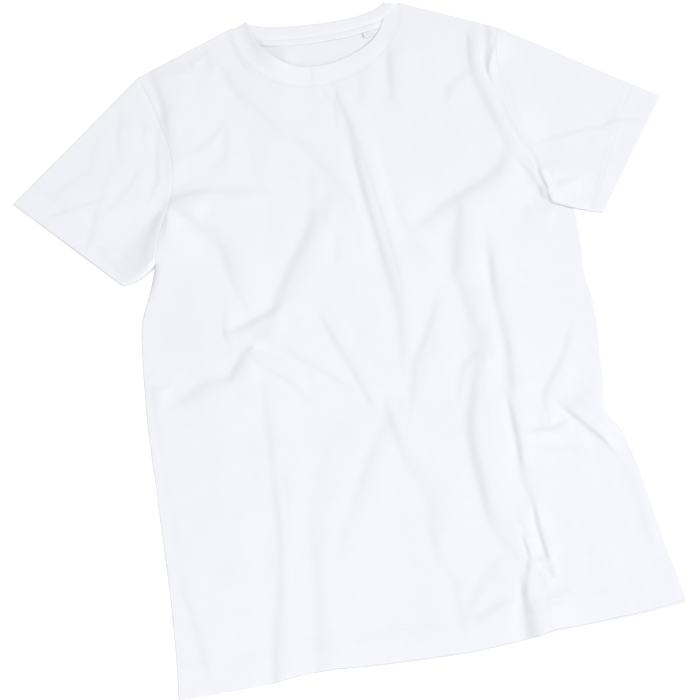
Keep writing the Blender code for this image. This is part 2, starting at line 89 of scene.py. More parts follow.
def at_shares(line, shares):
    """Points at shares of a line's length."""
    way = walked(line)
    return np.column_stack([np.interp(np.asarray(shares) * way[-1], way, line[:, k]) for k in (0, 1)])


def spaced(line, gap):
    """A line's points again, about one gap apart."""
    return at_shares(line, np.linspace(0, 1, max(2, round(walked(line)[-1] / gap) + 1)))


def edge_points(table, side):
    """Points of one side's edge, from a table of height, left and right."""
    return np.column_stack([side * table[:, 1 if side < 0 else 2], table[:, 0]])


def armhole_line(side):
    """Armhole seam from the underarm up to the shoulder."""
    return smooth_line(np.vstack([edge_points(ARMHOLES, side), SHOULDERS[side]]), 6)


def side_line(side, start):
    """Side of the body from a height up to the underarm."""
    line = smooth_line(edge_points(SIDES, side), 4)
    foot = (np.interp(start, line[:, 1], line[:, 0]), start)
    return np.vstack([foot, line[line[:, 1] > start + 1], armhole_line(side)[:1]])


def half_ring(half_width, top, drop, lean, turn):
    """Points of half an ellipse that hangs from a height. Turn 0 is its left end, pi its right."""
    across = -half_width * np.cos(turn) - lean * np.sin(turn) ** 2
    return np.column_stack([across, top - drop * np.sin(turn)])


def sleeve_edges(side):
    """Underarm edge and top fold of a sleeve, from the armhole to the cuff."""
    tip, corner, sag = SLEEVES[side]
    line = armhole_line(side)
    share = np.linspace(0, 1, 13)[:, None]
    low = line[0] + (np.array(corner) - line[0]) * share
    low[:, 1] -= (4 * sag * share * (1 - share))[:, 0]
    return low, np.array([line[-1], tip], float)


def measure(line, points, beyond=9):
    """Distance of points from a line, positive on its left, and the share of its length there. Its
    first and last stretch run on beyond its ends, as far as so many times their length."""
    step = np.diff(line, axis=0)
    length = np.hypot(*step.T)
    away = points[:, None] - line[:-1]
    low, high = np.zeros(len(step)), np.ones(len(step))
    low[0], high[-1] = -beyond, max(1, beyond)
    t = np.clip((away * step).sum(2) / length ** 2, low, high)
    off = away - t[..., None] * step
    gap = np.hypot(off[..., 0], off[..., 1])
    k = gap.argmin(1)
    n = np.arange(len(points))
    turn = step[k, 0] * off[n, k, 1] - step[k, 1] * off[n, k, 0]
    share = (walked(line)[k] + t[n, k] * length[k]) / length.sum()
    return np.where(turn < 0, -1, 1) * gap[n, k], share


BATCH = 6000        # points worked on at a time


def distance(line, points):
    """Plain distance of many points from a line."""
    batches = np.array_split(points, len(points) // BATCH + 1)
    return np.concatenate([np.abs(measure(line, batch, 0)[0]) for batch in batches])


FOLDED = []         # the edges where the upper ply turns down or ends
for side in SLEEVES:
    FOLDED += [side_line(side, 0), *sleeve_edges(side)]
    FOLDED.append(np.array([SHOULDERS[side], (side * NECK_SEAM[0], NECK_SEAM[1])]))

TURNS = np.linspace(0, math.pi, 121)
SEAMS = (
    # line, how deep it is drawn in
    (armhole_line(-1), .05), (armhole_line(1), 0), (half_ring(*NECK_SEAM, *FRONT_NECK, TURNS), 0))

# How the cloth lies. Soft worn jersey: shallow hollows between the plies, long drag lines from the
# neck, the underarms and the waist, and a few hard little creases where it has been pushed together.
# Each crease is a step along a line, with a ridge on its left hand and a shallower trough on its right.
FORMS = (
    # the broad forms that the creases sit in:
    # name, size, half width at its start and end, fade in and out, points
    ("centre", .9, 14, 16, .2, .3, ((7, 595), (14, 550), (23, 500), (29, 437), (31, 367), (28, 325))),
    ("collar", .7, 18, 20, .15, .3, ((-113, 655), (-75, 600), (-40, 555), (-15, 505), (-8, 470))),
    ("waist upper", 1.3, 16, 18, .25, .05, ((-30, 490), (-63, 442), (-88, 398), (-103, 375))),
    ("waist knot", 1, 14, 14, .05, .15, ((-100, 380), (-116, 370), (-133, 365), (-151, 363))),
    ("waist lower", 1.2, 14, 16, .15, .25, ((-135, 341), (-152, 318), (-181, 309), (-213, 297))),
    ("fan", 1, 15, 15, .05, .4, ((-182, 515), (-156, 491), (-142, 454), (-131, 418))),
    ("belly", .5, 13, 14, .25, .25, ((-58, 365), (-38, 306), (-20, 266), (2, 230))),
    ("belly right", .9, 16, 16, .25, .3, ((70, 365), (50, 321), (30, 270))),
    ("fork left", .3, 13, 15, .1, .4, ((-2, 235), (-25, 201), (-44, 164))),
    ("fork right", .5, 14, 14, .3, .3, ((3, 217), (10, 184), (20, 153), (18, 110))),
    ("chest", 1.1, 16, 17, .1, .25, ((180, 515), (146, 486), (115, 472), (80, 450))),
    ("shoulder", 1.2, 15, 15, .2, .15, ((170, 680), (160, 640), (162, 600), (172, 560), (186, 520))),
    ("neck right", .8, 14, 14, .1, .3, ((76, 680), (72, 640), (66, 590))),
    ("ridge", 1.1, 15, 16, .12, .12,
     ((108, 465), (98, 400), (102, 345), (98, 300), (84, 255), (75, 205), (77, 145), (98, 92))),
    ("ridge foot", .8, 13, 15, .15, .1,
     ((136, 420), (131, 350), (130, 300), (121, 240), (120, 170), (128, 105))),
    ("hem knot", 1.7, 14, 19, .5, 0, ((94, 42), (93, 20), (91, -10))),
    ("notch", 1.7, 12, 12, .3, .3, ((176, 218), (191, 201), (210, 177))),
    ("flank right", .3, 14, 14, .2, .2, ((195, 300), (178, 265), (160, 240))),
    ("drop", .6, 14, 16, .15, 0,
     ((-127, 278), (-131, 230), (-136, 165), (-145, 100), (-157, 40), (-163, -10))),
    ("drop right", .6, 14, 14, .2, 0, ((-88, 195), (-98, 130), (-110, 60), (-118, -6))),
    ("armhole left", 1.8, 15, 15, .1, .2, ((-195, 680), (-187, 640), (-184, 600), (-190, 555))),
    ("armpit left", 3.8, 14, 36, .45, .1, ((-202, 510), (-218, 492), (-237, 470), (-253, 447))),
    ("armpit right", 1.9, 12, 16, .2, .1, ((193, 490), (200, 468), (207, 446))),
)
CREASES = (
    # name, size, half width at its start and end, fade in and out, points
    ("centre", 1.4, 5.5, 8.5, .22, .3,
     ((9, 600), (14, 570), (14, 521), (18, 461), (23, 404), (26, 354), (24, 328))),
    ("centre core", .5, 4.5, 4.5, .3, .3, ((12, 528), (18, 461), (22, 411))),
    ("centre beside", .35, 3.5, 3.5, .2, .3, ((20, 545), (26, 498), (31, 447), (35, 398), (34, 375))),
    ("centre far", .3, 5, 5, .3, .3, ((44, 506), (50, 455), (66, 415), (79, 392))),
    ("centre light", .3, 6, 6, .3, .3, ((45, 454), (40, 507), (36, 560))),
    ("neck root", .5, 4, 4, .2, .3, ((-8, 624), (2, 601), (1, 582))),
    ("neck root spot", .5, 3.5, 3.5, .2, .3, ((10, 625), (3, 604))),
    ("neck short", .55, 6, 6, .2, .3, ((36, 633), (35, 619), (30, 604))),
    ("neck right", 1.1, 6, 7, .05, .35, ((73, 660), (70, 645), (66, 608))),
    ("chest right", 1.05, 9, 9, .2, .2, ((175, 520), (162, 495), (129, 479), (93, 463), (65, 447))),
    ("shoulder right", .95, 6, 7, .1, .2, ((163, 664), (159, 628), (164, 593), (172, 554), (179, 523))),
    ("shoulder right core", .4, 5, 5, .1, .3, ((163, 662), (159, 627))),
    ("shoulder outer", 1.7, 7, 4, .1, .3, ((187, 668), (182, 640), (177, 618))),
    ("shoulder outer sharp", .8, 2.8, 2.8, .35, .3, ((177, 634), (176, 616), (179, 600))),
    ("shoulder outer edge", .5, 3, 3, .2, .2, ((193, 654), (182, 630))),
    ("shoulder branch", .85, 7, 7, .15, .3, ((158, 622), (132, 605), (125, 588))),
    ("armhole right", .5, 7, 7, .2, .2, ((194, 603), (197, 565), (196, 550))),
    ("armpit right soft", .8, 4, 4, .2, .1, ((187, 503), (202, 473), (203, 458))),
    ("armpit right sharp", 1.3, 2.4, 2.4, .1, .15, ((206, 488), (208, 477), (211, 463))),
    ("armpit right deep", 1.5, 5.5, 5.5, .2, .1, ((203, 466), (205, 455), (208, 446))),
    ("armpit right foot", 1.5, 6, 6, .1, .2, ((212, 442), (199, 445), (190, 451))),
    ("sleeve right arc", .45, 3.5, 3.5, .2, .2, ((210, 489), (217, 484), (220, 475))),
    ("sleeve right low", .75, 5, 5, .2, .2, ((246, 471), (221, 469))),
    ("sleeve right long", .75, 4.5, 4.5, .05, .35,
     ((338, 526), (302, 532), (284, 526), (256, 526), (213, 520))),
    ("sleeve right branch", .2, 4, 4, .2, .1, ((320, 553), (299, 539), (292, 532))),
    ("armhole left outer", 1.1, 6.5, 6.5, .15, .3, ((-192, 671), (-185, 635), (-184, 603))),
    ("armhole left inner", .7, 5, 5, .2, .3, ((-190, 617), (-198, 580), (-202, 550), (-210, 534))),
    ("sleeve left tuck", .5, 4, 4, .1, .3, ((-190, 617), (-207, 614), (-210, 602))),
    ("sleeve left a", .4, 5, 5, .2, .2, ((-219, 565), (-238, 541), (-263, 519))),
    ("sleeve left b", .45, 4.5, 4.5, .2, .2, ((-261, 536), (-310, 528), (-335, 519))),
    ("sleeve left c", .6, 6, 6, .2, .2, ((-269, 531), (-278, 504), (-288, 479))),
    ("sleeve left d", .5, 6, 6, .2, .3, ((-229, 649), (-238, 602), (-242, 579))),
    ("sleeve left e", .35, 6, 6, .2, .3, ((-244, 638), (-267, 595), (-274, 572))),
    ("sleeve left f", .35, 6, 6, .2, .3, ((-275, 611), (-285, 579))),
    ("sleeve left g", .4, 4, 4, .2, .3, ((-267, 488), (-251, 468), (-241, 460))),
    ("armpit left", .8, 8, 10, .1, .1, ((-207, 508), (-220, 482), (-232, 456))),
    ("armpit left body", .8, 3.5, 3.5, .2, .2, ((-199, 502), (-205, 479))),
    ("fan low", .5, 8, 8, .3, .2, ((-170, 473), (-194, 491))),
    ("fan upper", 1.4, 8, 7, .3, .05, ((-98, 515), (-130, 522), (-163, 527), (-184, 523))),
    ("fan lower", 1.2, 8.5, 7, .1, .35, ((-183, 506), (-162, 481), (-146, 455), (-142, 425), (-133, 395))),
    ("waist upper", 1, 9, 9, .2, .1, ((-42, 488), (-55, 454), (-78, 422), (-95, 392), (-101, 378))),
    ("waist knot", 1.15, 6, 6, .1, .1, ((-99, 380), (-124, 369), (-149, 362))),
    ("waist hook a", .4, 4, 4, .3, .1, ((-151, 387), (-157, 363))),
    ("waist hook b", .65, 3, 3, .1, .1, ((-157, 366), (-156, 356), (-150, 349))),
    ("waist hook c", .25, 3, 3, .1, .2, ((-133, 340), (-151, 349))),
    ("waist lower", .95, 6, 6, .15, .15, ((-130, 342), (-145, 330), (-158, 311))),
    ("waist tail", .7, 8, 8, .15, .3, ((-156, 311), (-180, 312), (-203, 303), (-214, 295))),
    ("flank left small", .8, 6, 6, .2, .2, ((-222, 317), (-240, 321))),
    ("waist right", 2.2, 6, 6.5, .12, .4, ((-121, 344), (-102, 334), (-69, 308), (-37, 280))),
    ("waist right b", 1.6, 5, 5, .2, .3, ((-130, 323), (-106, 304), (-89, 287))),
    ("waist right c", .25, 7, 7, .2, .3, ((-92, 296), (-77, 278))),
    ("belly", 1.2, 5.5, 5.5, .2, .12, ((-52, 356), (-42, 327), (-32, 299), (-19, 260))),
    ("belly beside", .2, 4, 4, .2, .3, ((-31, 319), (-20, 291))),
    ("belly low", .25, 4, 4, .2, .2, ((-15, 274), (6, 262), (15, 235))),
    ("belly right", .7, 6, 6, .25, .3, ((63, 347), (49, 321), (33, 295), (21, 251))),
    ("fork", 1, 6, 8, .3, .35, ((-4, 256), (-3, 236), (2, 201))),
    ("fork right", .65, 11, 12, .25, .3, ((3, 217), (10, 184), (20, 153), (17, 105))),
    ("fork right foot", .5, 6, 7, .2, .45, ((15, 117), (18, 96), (28, 69), (30, 27))),
    ("fork left", .55, 6.5, 8, .12, .35, ((-4, 242), (-30, 206), (-53, 163), (-73, 124))),
    ("fork left small", .2, 5, 5, .2, .3, ((-65, 233), (-78, 208))),
    ("hem gather", .95, 7, 7, .2, .3, ((82, 38), (64, 35), (45, 26))),
    ("hem gather wide", .7, 10, 10, .3, .2, ((76, 79), (54, 58), (34, 28))),
    ("ridge upper", 1.05, 10, 10, .15, .2, ((114, 461), (103, 423), (93, 387))),
    ("ridge upper core", .25, 5, 5, .2, .2, ((114, 458), (106, 422))),
    ("ridge middle", .85, 8, 8, .15, .3, ((91, 388), (98, 359), (102, 327), (108, 314))),
    ("ridge hook", .8, 6, 6, .15, .3, ((101, 298), (81, 282), (71, 252))),
    ("ridge spot a", .3, 4, 4, .3, .3, ((108, 299), (104, 284))),
    ("ridge spot b", .3, 3.5, 3.5, .3, .3, ((113, 302), (114, 287))),
    ("ridge wide", .45, 9, 9, .3, .3, ((117, 331), (101, 281))),
    ("ridge low", 1.4, 8, 8.5, .2, .12,
     ((94, 275), (81, 237), (74, 207), (74, 158), (76, 124), (85, 97), (92, 86))),
    ("ridge low core", .35, 5, 5, .3, .3, ((74, 206), (75, 168), (76, 128))),
    ("ridge line", .25, 6, 6, .3, .3, ((100, 270), (93, 212), (90, 180))),
    ("ridge light", .3, 6, 6, .3, .3, ((123, 299), (126, 359), (125, 416))),
    ("foot upper", .9, 6, 6, .2, .1, ((136, 410), (131, 360), (132, 309), (131, 292))),
    ("foot upper core", .4, 4, 4, .2, .3, ((135, 398), (132, 369))),
    ("foot middle", 1.1, 6.5, 6.5, .15, .15, ((132, 298), (128, 264), (127, 247))),
    ("foot deep", 1.8, 4.5, 4.5, .35, .3, ((121, 237), (121, 205), (120, 175))),
    ("foot thin", .9, 5.5, 5.5, .2, .2, ((119, 184), (119, 154), (123, 127))),
    ("foot deepest", 1.8, 3.2, 3.4, .25, .12, ((123, 124), (123, 103), (125, 79), (126, 70))),
    ("foot tip", .8, 3.5, 3.5, .2, .2, ((116, 67), (123, 62), (127, 55))),
    ("foot tip low", .4, 4, 4, .2, .3, ((114, 66), (116, 46))),
    ("knot arc", .7, 4, 4, .2, .2, ((103, 116), (107, 111), (110, 102))),
    ("knot", 1.1, 2.6, 2.6, .1, .1, ((106, 97), (108, 77))),
    ("knot stem", .9, 3.5, 4.5, .15, .3, ((107, 75), (98, 51), (94, 37))),
    ("knot foot", 2.3, 6, 12, .5, .03, ((95, 44), (94, 20), (92, -12))),
    ("knot line", .2, 3, 3, .2, .2, ((116, 36), (113, 4))),
    ("knot blob", .7, 5, 5, .2, .2, ((143, 39), (124, 38))),
    ("notch", 2.5, 3, 3.2, .3, .3, ((177, 219), (191, 201), (203, 186), (213, 171))),
    ("notch above", .3, 6, 6, .2, .2, ((188, 225), (213, 197), (220, 183))),
    ("notch below", .7, 6, 6, .2, .25, ((139, 191), (164, 183), (183, 169))),
    ("notch arc", .8, 4.5, 4.5, .2, .2, ((175, 208), (160, 202), (142, 204))),
    ("flank right arc", .75, 5, 5, .2, .2, ((199, 301), (184, 273), (159, 240), (157, 215))),
    ("flank right c", .35, 5, 5, .2, .2, ((226, 327), (227, 300))),
    ("hip right", .85, 7, 7, .2, .3, ((221, 154), (226, 114), (231, 54))),
    ("drop", .45, 5.5, 5.5, .2, .15, ((-126, 281), (-129, 224), (-133, 162), (-135, 128), (-140, 95))),
    ("drop core", .25, 4, 4, .2, .2, ((-131, 185), (-135, 131), (-136, 116))),
    ("drop low", .75, 7, 7.5, .15, .03, ((-139, 99), (-153, 44), (-162, -10))),
    ("drop foot", .4, 5, 5, .3, .03, ((-157, 30), (-162, -10))),
    ("drop beside", .2, 4, 4, .3, .3, ((-117, 206), (-123, 140))),
    ("drop right", .35, 7, 8, .25, .03, ((-101, 165), (-106, 61), (-117, 0))),
    ("drop between", .12, 4, 4, .3, .3, ((-121, 114), (-134, 56))),
    ("flank left", .6, 7, 7, .2, .1, ((-239, 333), (-241, 236), (-238, 165), (-237, 98), (-227, 25))),
    ("collar left", 1, 8, 8, .2, .3, ((-113, 667), (-102, 636), (-84, 614), (-66, 587))),
    ("collar left far", .6, 6.5, 6.5, .3, .3, ((-46, 571), (-27, 537), (-7, 505), (4, 470))),
    ("shoulder left pinch", 1.1, 3.5, 3.5, .1, .3, ((-103, 718), (-99, 694))),
    ("shoulder left line", .6, 3.5, 3.5, .2, .2, ((-101, 710), (-91, 673), (-78, 656))),
    ("shoulder left a", .7, 7, 7, .2, .3, ((-129, 698), (-125, 669))),
    ("shoulder left b", .6, 4, 4, .2, .3, ((-149, 691), (-145, 675))),
    ("chest left a", .55, 5, 5, .2, .3, ((-121, 604), (-139, 585), (-155, 576))),
    ("chest left b", .5, 6, 6, .2, .3, ((-119, 597), (-127, 562), (-138, 553))),
    ("chest small a", .6, 6, 6, .3, .3, ((-37, 525), (-42, 501))),
    ("chest small b", .25, 4, 4, .3, .3, ((-28, 488), (-32, 466))),
    ("chest small c", .45, 7, 7, .2, .3, ((5, 459), (1, 435))),
    ("chest small d", .65, 7, 7, .3, .3, ((-23, 447), (-28, 418))),
    ("sleeve left h", .3, 5, 5, .2, .3, ((-268, 574), (-290, 564), (-316, 549))),
    ("sleeve left i", .2, 5, 5, .2, .3, ((-247, 575), (-262, 548))),
    ("shoulder left c", .5, 3.5, 3.5, .2, .2, ((-127, 697), (-140, 685))),
    ("shoulder left d", .45, 3.5, 3.5, .2, .2, ((-125, 680), (-111, 671))),
    ("shoulder left e", .4, 4, 4, .2, .3, ((-160, 668), (-140, 662))),
    ("sleeve right fine a", .4, 3.5, 3.5, .2, .3, ((222, 505), (254, 486))),
    ("sleeve right fine b", .45, 3.5, 3.5, .2, .3, ((214, 481), (242, 467))),
    ("sleeve right fine c", .4, 4, 4, .2, .2, ((268, 505), (290, 490))),
    ("armhole right second", .6, 5, 4, .2, .2, ((183, 577), (191, 541), (206, 504), (208, 482))),
    ("flank left low", .6, 6, 6, .25, .15, ((-238, 103), (-229, 63), (-225, 22))),
    ("band crease", .45, 4, 4.5, .1, .4, ((-16, 656), (-16, 634))),
    ("fan root", 2, 8, 8, .3, .3, ((-194, 514), (-181, 503), (-168, 491))),
)
VALLEYS = (
    # narrow hollows with a low ridge on both sides, in the same columns
    ("flank left small", .7, 5, 5, .2, .2, ((-222, 317), (-240, 321))),
    ("notch below", 1.7, 5.5, 5.5, .2, .25, ((137, 193), (163, 185), (184, 174))),
    ("foot tip", 1.2, 3.5, 3.5, .2, .2, ((116, 67), (123, 62), (127, 55))),
    ("shoulder left pinch", 1, 3.5, 3.5, .1, .3, ((-102, 716), (-98, 694))),
    ("waist hook c", .7, 3, 3, .1, .2, ((-133, 340), (-151, 349))),
    ("flank right b", 1.1, 6.5, 7, .3, .3, ((159, 371), (185, 351), (212, 334), (228, 322))),
    ("flank right a", .8, 6, 6, .3, .3, ((149, 393), (176, 377), (202, 359), (226, 349))),
)
SWELLS = (
    # across, height, radius, rise
    (105, 210, 70, 2), (105, 30, 45, 2), (-120, 350, 60, 1.5), (40, 520, 80, 1),
    (-86, 722, 26, 1), (246, 468, 35, .5), (-218, 462, 42, 1.6))
LOWEST = 2.25       # top of the upper ply where it lies flat on the lower one
PUFF = 1.4          # air between the plies in the middle
PUFF_REACH = 70     # and how far from a folded edge it is full
EDGE_ROLL = 8       # how far from a folded edge the creases reach their height
NECK_END = (82, 722)
NECK_CALM = 65      # how far from each end of the neck the upper ply stays down
SOFT_FLOOR = .4     # how softly a trough comes to rest on the lower ply

yarn = np.random.default_rng(7)


def uneven(count, lengths, sizes):
    """Waves that run all ways: pitch, direction, phase and height."""
    length, angle = yarn.uniform(*lengths, count), yarn.uniform(0, math.pi, count)
    phase, size = yarn.uniform(0, 6.28, count), yarn.uniform(*sizes, count)
    return list(zip(2 * math.pi / length, angle, phase, size))


WAVES = uneven(26, (35, 130), (.03, .08))
CRINKLES = uneven(14, (13, 30), (.012, .028))


def ease(t):
    """Goes softly from 0 to 1."""
    t = np.clip(t, 0, 1)
    return t * t * (3 - 2 * t)


def relief(points):
    """The faint unevenness of cloth that isn't pressed, finer over the shoulders and sleeves."""
    x, y = points.T

    def waves(rows):
        return sum(size * np.sin(pitch * (x * math.cos(angle) + y * math.sin(angle)) + phase)
                   for pitch, angle, phase, size in rows)

    return waves(WAVES) + waves(CRINKLES) * (.3 + .7 * ease((y - 500) / 120))


def step_form(reach):
    """Section of a crease: a ridge 1 high at reach 1, a trough .5 deep at -.5, both with soft feet."""
    def wave(at, foot):
        return np.where(at < 1, at * np.exp(.5 * (1 - at ** 2)), np.exp(-.5 * ((at - 1) / foot) ** 2))

    return np.where(reach > 0, wave(reach, 2), -.5 * wave(-2 * reach, 1.8))


def valley_form(reach):
    """Section of a hollow 1 deep between two low ridges."""
    return .3 * np.exp(-((np.abs(reach) - 1.9) / .9) ** 2) - np.exp(-reach ** 2)


# every crease: its line, section, size, half widths and fades
CREASED = [(smooth_line(points, 5), form, size, narrow, wide, start, end)
           for rows, form in ((FORMS, step_form), (CREASES, step_form), (VALLEYS, valley_form))
           for _, size, narrow, wide, start, end, points in rows]


def hem_height(x):
    """Height of the back's hem."""
    return np.interp(x, *HEM.T)


HEM_ROWS = (24.5, 30.5)     # the two rows of stitches, up from the hem's edge
HEM_TURN = 30.8             # the raw edge of the turned-up ply
HEM_PLY = .14               # how much it raises the cloth
STITCH_PULL = .05           # how deep a row of stitches draws it in


def band_form(inset):
    """A turned-up hem: two plies up to its raw edge, drawn in by two rows of stitches."""
    raised = HEM_PLY * (1 - ease((inset - HEM_TURN) / 4))
    return raised - STITCH_PULL * sum(np.exp(-((inset - row) / 1.1) ** 2) for row in HEM_ROWS)


def lie(points):
    """Height of the upper face of the cloth above the table."""
    points = np.asarray(points, float)
    rise = relief(points)
    for line, form, size, narrow, wide, start, end in CREASED:
        margin = 5.5 * max(narrow, wide)        # past this the crease is gone
        near = np.all((points > line.min(0) - margin) & (points < line.max(0) + margin), axis=1)
        if not near.any():
            continue
        away, share = measure(line, points[near])
        length = walked(line)[-1]
        fading = 1
        for gone, fade in ((share, start), (1 - share, end)):
            fading = fading * ease(.5 + .5 * gone / max(fade, 1.5 * narrow / length)) if fade else fading
        # a crease is narrower as well as lower where it fades
        reach = away / ((narrow + (wide - narrow) * np.clip(share, 0, 1)) * (.4 + .6 * fading))
        rise[near] += size * form(reach) * fading
    for x, y, radius, swell in SWELLS:
        rise += swell * np.exp(-((points[:, 0] - x) ** 2 + (points[:, 1] - y) ** 2) / radius ** 2)
    inset = np.min([distance(line, points) for line in FOLDED], axis=0)
    air = PUFF * ease(inset / PUFF_REACH)
    roll = np.sqrt(1 - (1 - np.clip(inset / EDGE_ROLL, 0, 1)) ** 2)
    rise = SOFT_FLOOR * np.log1p(np.exp((air + rise * roll) / SOFT_FLOOR)) - SOFT_FLOOR * math.log(2)
    for side in SLEEVES:
        rise *= ease(np.hypot(points[:, 0] - side * NECK_END[0], points[:, 1] - NECK_END[1]) / NECK_CALM)
    drawn = sum(deep * np.exp(-distance(line, points) ** 2) for line, deep in SEAMS)
    return LOWEST + np.maximum(rise, 0) - drawn


# The jersey: upright columns of V-shaped loops about 0.75 mm wide and 0.6 mm high. The yarn is matt,
# slightly blue from optical brightener and a little uneven.
def knit_group():
    """Height of the loops and a slow unevenness of tone, by the place on the flat cloth."""
    group = bpy.data.node_groups.new("knit", "ShaderNodeTree")
    for label in ("Place", "Column", "Row", "Slant"):
        kind = "NodeSocketVector" if label == "Place" else "NodeSocketFloat"
        group.interface.new_socket(label, in_out="INPUT", socket_type=kind)
    for label in ("Height", "Tone"):
        group.interface.new_socket(label, in_out="OUTPUT", socket_type="NodeSocketFloat")
    given, made = group.nodes.new("NodeGroupInput"), group.nodes.new("NodeGroupOutput")

    def work(operation, *values):
        """Arithmetic between sockets and numbers."""
        node = group.nodes.new("ShaderNodeMath")
        node.operation = operation
        for place, value in zip(node.inputs, values):
            if isinstance(value, (int, float)):
                place.default_value = value
            else:
                group.links.new(value, place)
        return node.outputs[0]

    split = group.nodes.new("ShaderNodeSeparateXYZ")
    group.links.new(given.outputs["Place"], split.inputs[0])
    column = work("FRACT", work("DIVIDE", split.outputs["X"], given.outputs["Column"]))
    leg = work("ABSOLUTE", work("SUBTRACT", column, .5))
    rows = work("DIVIDE", split.outputs["Y"], given.outputs["Row"])
    slanted = work("ADD", rows, work("MULTIPLY", leg, given.outputs["Slant"]))
    loop = work("COSINE", work("MULTIPLY", slanted, math.tau))
    swell = work("SINE", work("MULTIPLY", leg, math.tau))
    group.links.new(work("MULTIPLY", swell, work("MULTIPLY_ADD", loop, .25, .75)), made.inputs["Height"])
    noise = group.nodes.new("ShaderNodeTexNoise")
    noise.inputs["Scale"].default_value = 90
    noise.inputs["Detail"].default_value = 4
    group.links.new(given.outputs["Place"], noise.inputs["Vector"])
    group.links.new(noise.outputs[0], made.inputs["Tone"])
    return group


KNIT = knit_group()


def cloth_material(name, colour, column=.00075, row=.0006, slant=1.2, depth=.00008, rough=.9):
    """Matt cotton with its loops as fine bump and a faint unevenness of tone."""
    material = bpy.data.materials.new(name)
    material.use_nodes = True
    tree = material.node_tree
    shader = tree.nodes["Principled BSDF"]
    place = tree.nodes.new("ShaderNodeUVMap")
    place.uv_map = "cloth"
    knit = tree.nodes.new("ShaderNodeGroup")
    knit.node_tree = KNIT
    for label, value in (("Column", column), ("Row", row), ("Slant", slant)):
        knit.inputs[label].default_value = value
    tree.links.new(place.outputs[0], knit.inputs["Place"])
    bump = tree.nodes.new("ShaderNodeBump")
    bump.inputs["Strength"].default_value = .5
    bump.inputs["Distance"].default_value = depth
    tree.links.new(knit.outputs["Height"], bump.inputs["Height"])
    tree.links.new(bump.outputs[0], shader.inputs["Normal"])
    mix = tree.nodes.new("ShaderNodeMix")
    mix.data_type = "RGBA"
    mix.inputs[6].default_value = (*[.985 * c for c in colour], 1)
    mix.inputs[7].default_value = (*[1.012 * c for c in colour], 1)
    tree.links.new(knit.outputs["Tone"], mix.inputs[0])
    tree.links.new(mix.outputs[2], shader.inputs["Base Color"])
    for label, value in (("Roughness", rough), ("Specular IOR Level", .25), ("Sheen Weight", .12),
                         ("Sheen Roughness", .5)):
        shader.inputs[label].default_value = value
    return material


WHITE = (.86, .865, .91)
jersey = cloth_material("white jersey", WHITE)


def piece(name, points, faces, material, node, places=None):
    """Smooth object of a closed mesh in millimetres, in place of a solid. Places are those of its
    points on the flat cloth, in metres."""
    mesh = bpy.data.meshes.new(name)
    points = np.asarray(points, float)
    world = (points - (0, MIDDLE, 0)) / 1000
    mesh.from_pydata(world.tolist(), [], faces)
    mesh.validate()
    corners = np.zeros(len(mesh.loops), int)
    mesh.loops.foreach_get("vertex_index", corners)
    places = points[:, :2] / 1000 if places is None else np.asarray(places)
    mesh.uv_layers.new(name="cloth").data.foreach_set("uv", places[corners].ravel())
    mesh.shade_smooth()
    mesh.set_sharp_from_angle(angle=math.radians(65))
    mesh.materials.append(material)
    made = bpy.data.objects.new(name, mesh)
    bpy.context.scene.collection.objects.link(made)
    if node:
        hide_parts(node)
    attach(made, "root")
    return made


# The sheet is a net of points, fine along the rim, the sewn rows and the sharp creases and even
# elsewhere, with a coarser net below it as its inner face.
WALL = 1.0                  # thickness of the jersey
ROUND_OFF = .5              # radius of its cut edge
CELL = .5                   # squares that keep the points of a net apart
FIELD = (1500, 1520)        # how many of them lie across and up the shirt
FIELD_START = (-370, -16)   # and where the first one is
BODY_ACROSS, BODY_UP = (-262, 262), (-10, 735)      # a box round the body panels
FAR_IN = 9.0                # stands for any distance from the rim past its rounding


class Net:
    """Points of a sheet, in the plane, none too near to another."""

    def __init__(self, outline):
        self.outline = outline
        self.taken = np.zeros(FIELD, bool)
        self.points = []
        self.insets = []

    def cells(self, points):
        return ((points - FIELD_START) / CELL).astype(int)

    def inside(self, points):
        a, b = self.outline, np.roll(self.outline, -1, axis=0)
        found = []
        for part in np.array_split(points, len(points) // BATCH + 1):
            x, y = part[:, :1], part[:, 1:]
            crosses = (a[:, 1] > y) != (b[:, 1] > y)
            with np.errstate(divide="ignore", invalid="ignore"):
                at = a[:, 0] + (b[:, 0] - a[:, 0]) * (y - a[:, 1]) / (b[:, 1] - a[:, 1])
            found.append((crosses & (x < at)).sum(1) % 2 == 1)
        return np.concatenate(found)

    def add(self, points, clear, inset=FAR_IN, rim=False):
        """Adds those points that are inside and clear of all before them."""
        points = np.asarray(points, float)
        if not rim:
            points = points[self.inside(points)]
            cells = self.cells(points)
            points = points[~self.taken[cells[:, 0], cells[:, 1]]]
        if not len(points):
            return
        self.points.append(points)
        self.insets.append(np.full(len(points), float(inset)))
        reach = int(clear / CELL)
        cells = self.cells(points)
        for dx in range(-reach, reach + 1):
            for dy in range(-reach, reach + 1):
                if math.hypot(dx, dy) * CELL <= clear:
                    self.taken[cells[:, 0] + dx, cells[:, 1] + dy] = True

    def grid(self, pitch):
        """Fills what is still free with an even net."""
        across = np.arange(*BODY_ACROSS, pitch)
        rows = np.arange(*BODY_UP, pitch * math.sqrt(3) / 2)
        points = [np.column_stack([across + pitch / 2 * (k % 2), np.full(len(across), y)])
                  for k, y in enumerate(rows)]
        self.add(np.vstack(points), 0)

    def faces(self):
        """Points, insets and triangles of the net, and each point's place in the outline."""
        points, insets = np.vstack(self.points), np.concatenate(self.insets)
        rim = [list(range(len(self.outline)))]
        made = geometry.delaunay_2d_cdt([Vector(p) for p in points], [], rim, 1, 1e-5)
        first = np.array([origin[0] for origin in made[3]])
        return points[first], insets[first], [list(face) for face in made[2]], first


